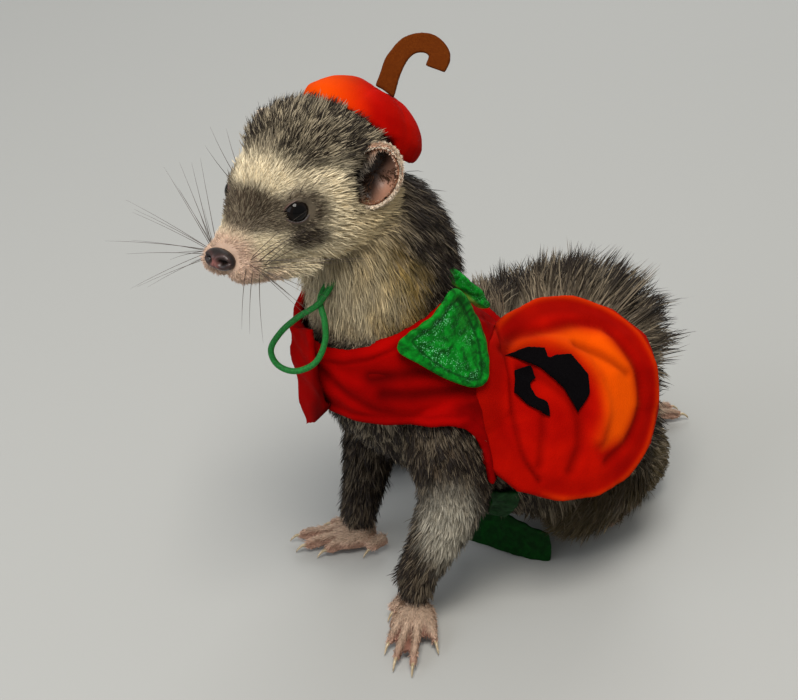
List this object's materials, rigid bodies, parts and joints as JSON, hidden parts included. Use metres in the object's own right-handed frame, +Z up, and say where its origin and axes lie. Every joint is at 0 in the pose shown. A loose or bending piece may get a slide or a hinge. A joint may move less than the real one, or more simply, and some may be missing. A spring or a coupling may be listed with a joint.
{
  "type": "ferret figure",
  "caption": "Life-size still ferret sitting up on straight forelegs, with a bristling coat, a padded cap with a hooked stem and a round-panelled pumpkin coat.",
  "frame": {"origin": "on the flat under the rump, on the floor that the animal sits on", "axes": "+Z up; the animal faces -Y and its left side is +X"},
  "size_m": [0.1505, 0.2382, 0.2011],
  "materials": {
    "fur_cream": "cream underfur with dark guard-hair tips",
    "fur_sable": "black-brown guard hair over grey-cream underfur",
    "skin": "pink skin under short cream hair",
    "eye": "wet black",
    "velour_red": "short-pile velour",
    "plush_orange": "plush, lighter where the pile turns",
    "felt_black": "flat felt",
    "velvet_green": "crushed velvet with a sparkle",
    "felt_brown": "stiff felt",
    "elastic_green": "braided round elastic"
  },
  "bodies": {
    "root": {"head": "fur_cream", "nose": "skin", "neck": "fur_cream", "chest": "fur_sable", "rump": "fur_sable", "tail_base": "fur_sable", "tail_tip": "fur_sable", "eye_left": "eye", "eye_right": "eye", "ear_left": "fur_cream", "ear_right": "fur_cream", "foreleg_left": "fur_sable", "foreleg_right": "fur_sable", "forepaw_left": "skin", "forepaw_right": "skin", "shank_left": "fur_sable", "shank_right": "fur_sable", "hindfoot_left": "skin", "hindfoot_right": "skin", "vest_yoke": "velour_red", "vest_flap": "velour_red", "pumpkin_panel": "plush_orange", "face_grin": "felt_black", "face_patch": "felt_black", "leaf_near": "velvet_green", "leaf_back": "velvet_green", "belly_strap": "velvet_green", "strap_end": "velvet_green", "cap": "plush_orange", "cap_stem": "felt_brown", "chin_cord": "elastic_green"}
  },
  "joints": []
}
